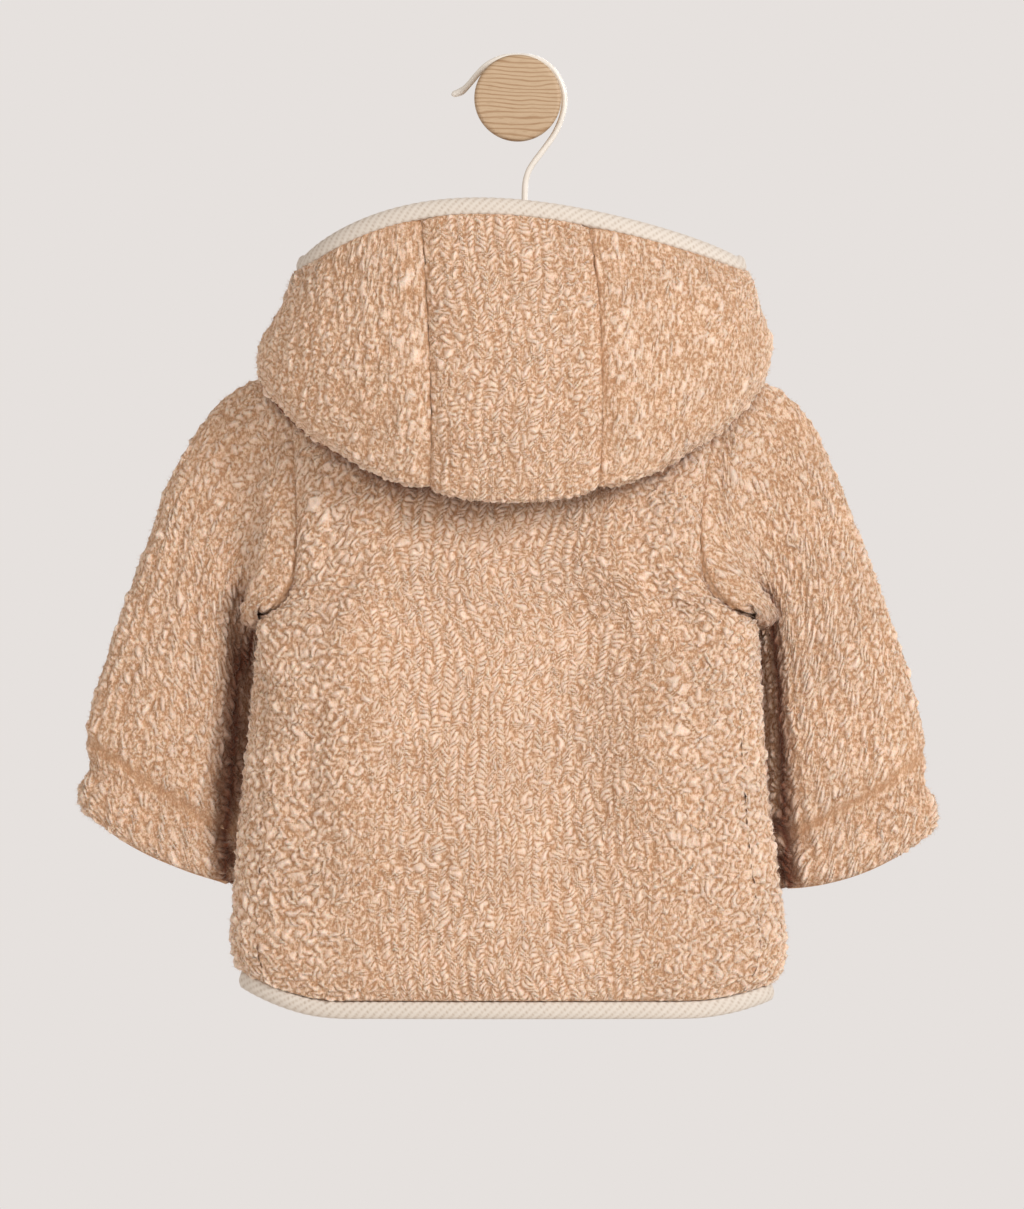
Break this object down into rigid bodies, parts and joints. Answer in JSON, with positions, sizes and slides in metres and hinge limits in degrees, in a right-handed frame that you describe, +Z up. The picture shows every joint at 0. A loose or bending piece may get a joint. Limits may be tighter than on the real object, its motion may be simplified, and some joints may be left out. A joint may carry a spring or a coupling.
{
  "type": "fleece jacket on a wire hanger and wall knob",
  "caption": "Child's hooded curly-fleece jacket with ribbed bindings, hung back outward from a wire hanger on a round wall knob, open at neck, hem and cuffs.",
  "frame": {"origin": "middle of the knob's flat wall face, where it stands against the wall", "axes": "+Y into the wall, -Y out of it towards the side shown, +Z up, +X to the right as seen from the side shown"},
  "size_m": [0.5015, 0.126, 0.5597],
  "materials": {
    "back": "matte curly pile",
    "front_left": "matte curly pile",
    "front_right": "matte curly pile",
    "sleeve_left": "matte curly pile",
    "sleeve_right": "matte curly pile",
    "hood_left": "matte curly pile",
    "hood_centre": "matte curly pile",
    "hood_right": "matte curly pile",
    "hem_binding": "matte ribbed knit",
    "front_binding_left": "matte ribbed knit",
    "front_binding_right": "matte ribbed knit",
    "hood_binding": "matte ribbed knit",
    "stud_1": "satin",
    "stud_2": "satin",
    "stud_3": "satin",
    "stud_4": "satin",
    "hanger_arms": "satin coating",
    "hanger_hook": "satin coating",
    "wall_knob": "matte, bare grain"
  },
  "bodies": {
    "root": {"back": "back", "front_left": "front_left", "front_right": "front_right", "sleeve_left": "sleeve_left", "sleeve_right": "sleeve_right", "hood_left": "hood_left", "hood_centre": "hood_centre", "hood_right": "hood_right", "hem_binding": "hem_binding", "front_binding_left": "front_binding_left", "front_binding_right": "front_binding_right", "hood_binding": "hood_binding", "stud_1": "stud_1", "stud_2": "stud_2", "stud_3": "stud_3", "stud_4": "stud_4", "hanger_arms": "hanger_arms", "hanger_hook": "hanger_hook", "wall_knob": "wall_knob"}
  },
  "joints": []
}
